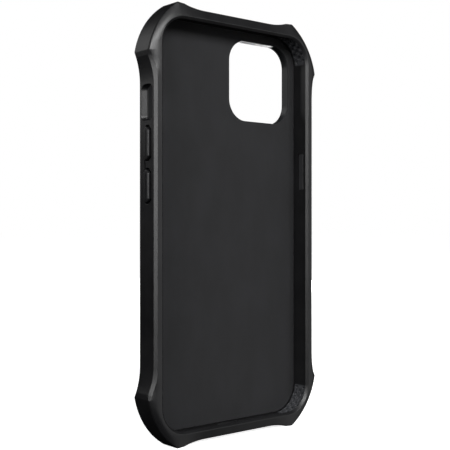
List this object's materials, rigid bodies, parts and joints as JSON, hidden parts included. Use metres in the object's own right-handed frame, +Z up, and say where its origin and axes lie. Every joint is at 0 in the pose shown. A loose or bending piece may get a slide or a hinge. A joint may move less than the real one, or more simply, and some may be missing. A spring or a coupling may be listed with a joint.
{
  "type": "phone case",
  "caption": "Rugged phone case: a raised-lip rubber bumper with flared corner wings, a hard back with camera opening and sprung side keys.",
  "frame": {"origin": "on the floor under the middle of the case, when it stands upright on its two lower wings", "axes": "+Z runs up the length of the phone, +X to the right seen from the screen side, -Y out of the screen"},
  "size_m": [0.08, 0.0122, 0.1555],
  "materials": {
    "bumper_tpu": "fine-grained matte black thermoplastic rubber, satin on its bevels",
    "shell_pc": "matte black polycarbonate with a fine spark-eroded grain",
    "woven_inlay": "twill-woven dark aramid cloth under a satin resin",
    "adhesive": "thin grey double-sided film",
    "microfibre": "charcoal microfibre with a short brushed nap",
    "guard_pc": "satin black polycarbonate",
    "trim_metal": "dark anodised and brushed",
    "carrier_plastic": "moulded, as it leaves the tool",
    "shield_steel": "rolled strip",
    "magnet_metal": "nickel-plated",
    "pad_foam": "dark grey shock-absorbing elastomer with open air cells",
    "key_hard": "satin black hard plastic",
    "key_tpu": "matte black soft elastomer"
  },
  "bodies": {
    "case": {"bumper_frame": "bumper_tpu", "back_shell": "shell_pc", "back_inlay": "woven_inlay", "inlay_adhesive": "adhesive", "pocket_lining": "microfibre", "camera_guard": "guard_pc", "camera_trim": "trim_metal", "magnet_carrier": "carrier_plastic", "magnet_shield": "shield_steel", "alignment_magnet": "magnet_metal", "corner_pad_top_left": "pad_foam", "corner_pad_top_right": "pad_foam", "corner_pad_bottom_left": "pad_foam", "corner_pad_bottom_right": "pad_foam", "volume_up_gasket": "key_tpu", "volume_down_gasket": "key_tpu", "power_gasket": "key_tpu", "ring_magnet_01": "magnet_metal", "ring_magnet_02": "magnet_metal", "ring_magnet_03": "magnet_metal", "ring_magnet_04": "magnet_metal", "ring_magnet_05": "magnet_metal", "ring_magnet_06": "magnet_metal", "ring_magnet_07": "magnet_metal", "ring_magnet_08": "magnet_metal", "ring_magnet_09": "magnet_metal", "ring_magnet_10": "magnet_metal", "ring_magnet_11": "magnet_metal", "ring_magnet_12": "magnet_metal", "ring_magnet_13": "magnet_metal", "ring_magnet_14": "magnet_metal", "ring_magnet_15": "magnet_metal", "ring_magnet_16": "magnet_metal", "ring_magnet_17": "magnet_metal", "ring_magnet_18": "magnet_metal"},
    "volume_up": {"volume_up_key": "key_hard", "volume_up_pad": "key_tpu"},
    "volume_down": {"volume_down_key": "key_hard", "volume_down_pad": "key_tpu"},
    "power": {"power_key": "key_hard", "power_pad": "key_tpu"}
  },
  "joints": [
    {"name": "volume_up_press", "type": "slide", "parent": "case", "child": "volume_up", "axis": [1, 0, 0], "range_m": [0, 0.0004], "stiffness_N_per_m": 2500, "deforming": ["volume_up_gasket"]},
    {"name": "volume_down_press", "type": "slide", "parent": "case", "child": "volume_down", "axis": [1, 0, 0], "range_m": [0, 0.0004], "stiffness_N_per_m": 2500, "deforming": ["volume_down_gasket"]},
    {"name": "power_press", "type": "slide", "parent": "case", "child": "power", "axis": [-1, 0, 0], "range_m": [0, 0.0004], "stiffness_N_per_m": 2500, "deforming": ["power_gasket"]}
  ]
}
